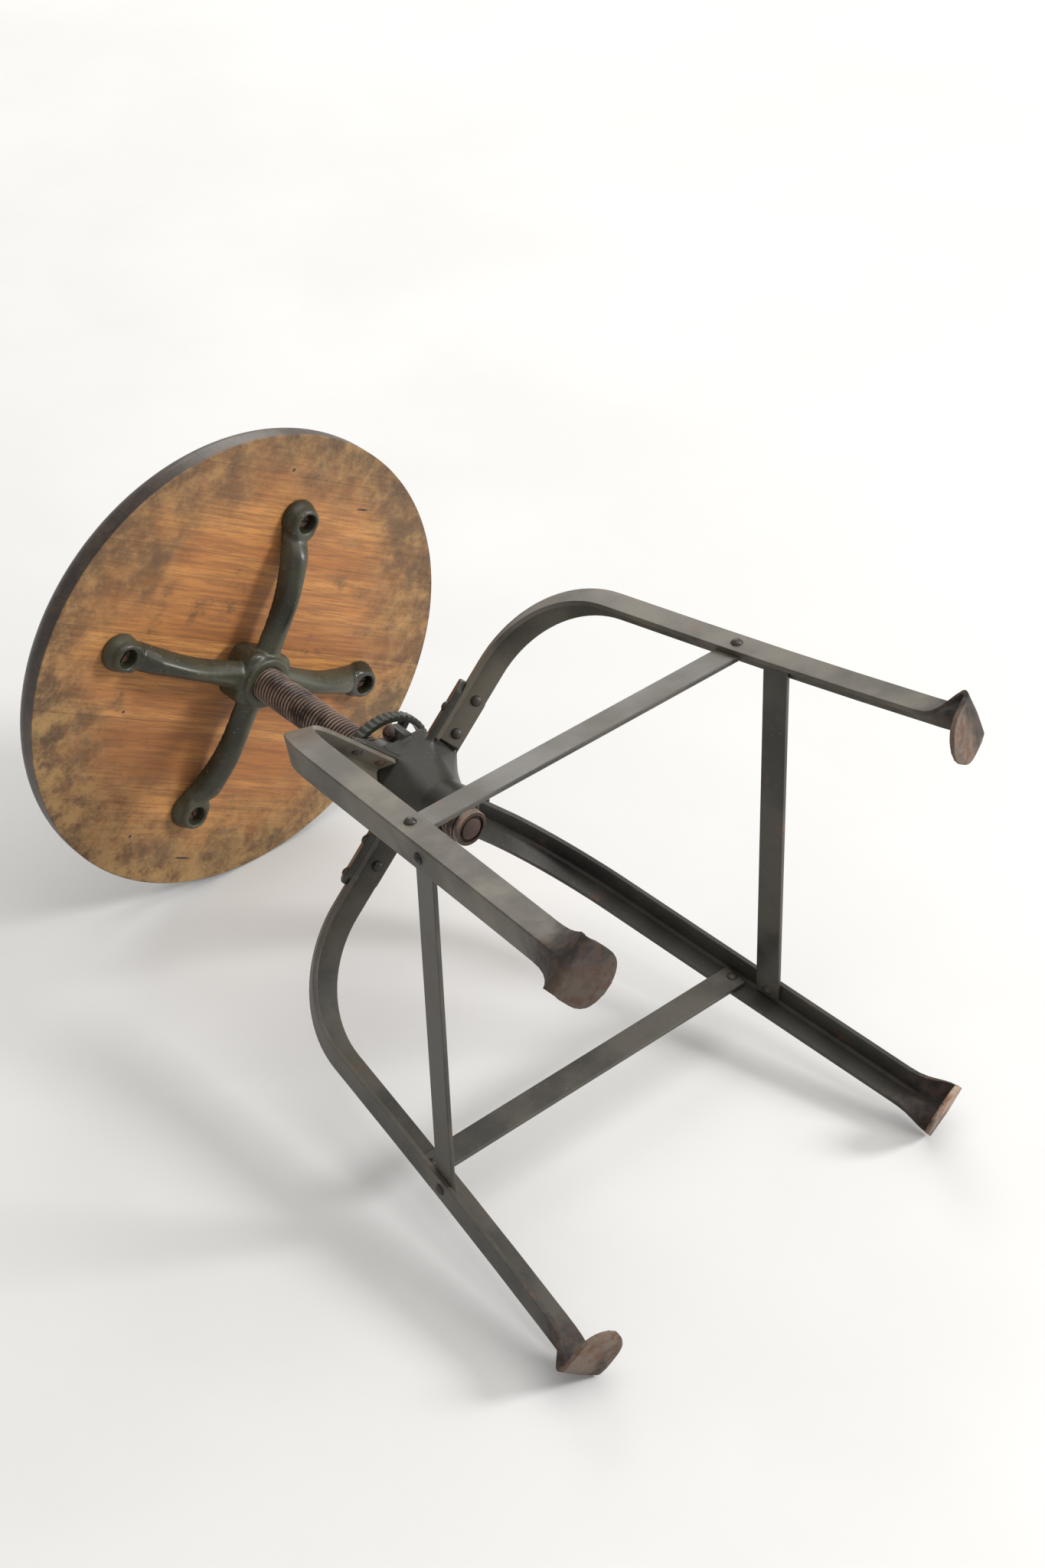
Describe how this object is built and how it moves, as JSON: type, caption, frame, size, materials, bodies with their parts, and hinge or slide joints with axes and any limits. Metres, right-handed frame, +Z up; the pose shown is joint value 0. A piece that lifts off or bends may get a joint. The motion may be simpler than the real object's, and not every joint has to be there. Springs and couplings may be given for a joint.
{
  "type": "adjustable swivel stool",
  "caption": "Round wooden seat on a four-armed iron spider and threaded spindle that screws up and down in a four-legged riveted steel base.",
  "frame": {"origin": "on the floor under the spindle axis, in the plane the feet stand on", "axes": "+Z up along the spindle; legs stand between the X and Y axes; the binding screw's ear is on the -Y side"},
  "size_m": [0.3639, 0.3647, 0.582],
  "materials": {
    "leg_paint": "worn dark olive-grey paint, semi-gloss",
    "brace_paint": "worn dark olive-grey paint, semi-gloss",
    "hub_paint": "dark olive-grey paint on a casting",
    "rivet_steel": "painted over, worn on the crown",
    "ring_iron": "green-grey paint, worn on the rim",
    "screw_rust": "rusted",
    "spindle_steel": "rusty brown, polished on the crests",
    "spider_paint": "olive-green paint, worn on the ridges",
    "seat_wood": "worn varnish, grimy near the edge"
  },
  "bodies": {
    "base": {"hub": "hub_paint", "leg_f": "leg_paint", "leg_t": "leg_paint", "leg_r": "leg_paint", "leg_b": "leg_paint", "hub_rivets_f": "rivet_steel", "hub_rivets_t": "rivet_steel", "hub_rivets_r": "rivet_steel", "hub_rivets_b": "rivet_steel", "brace_ft": "brace_paint", "brace_tr": "brace_paint", "brace_rb": "brace_paint", "brace_bf": "brace_paint", "brace_ft_rivets": "rivet_steel", "brace_tr_rivets": "rivet_steel", "brace_rb_rivets": "rivet_steel", "brace_bf_rivets": "rivet_steel"},
    "carrier": {"stop_collar": "spindle_steel"},
    "seat": {"spindle": "spindle_steel", "spider": "spider_paint", "spider_pin": "screw_rust", "seat_screws": "screw_rust", "seat_board_1": "seat_wood", "seat_board_2": "seat_wood", "seat_board_3": "seat_wood", "seat_board_4": "seat_wood", "seat_board_5": "seat_wood", "seat_board_6": "seat_wood"},
    "ring": {"lock_ring": "ring_iron"},
    "screw": {"binding_screw": "screw_rust"}
  },
  "joints": [
    {"name": "seat_lift", "type": "slide", "parent": "base", "child": "carrier", "axis": [0, 0, 1], "range_m": [-0.1143, 0.00635]},
    {"name": "seat_turn", "type": "hinge", "parent": "carrier", "child": "seat", "pos_m": [0, 0, 0.4], "axis": [0, 0, 1], "range_deg": [-12960, 720]},
    {"name": "ring_turn", "type": "hinge", "parent": "base", "child": "ring", "pos_m": [0, 0, 0.394], "axis": [0, 0, 1], "range_deg": [-20, 20]},
    {"name": "screw_turn", "type": "hinge", "parent": "base", "child": "screw", "pos_m": [0.001, -0.036, 0.3787], "axis": [0.9397, 0.342, 0], "range_deg": [-180, 180]}
  ],
  "couplings": [
    {"joint": "seat_lift", "follows": "seat_turn", "m_per_rad": 0.00050532}
  ]
}
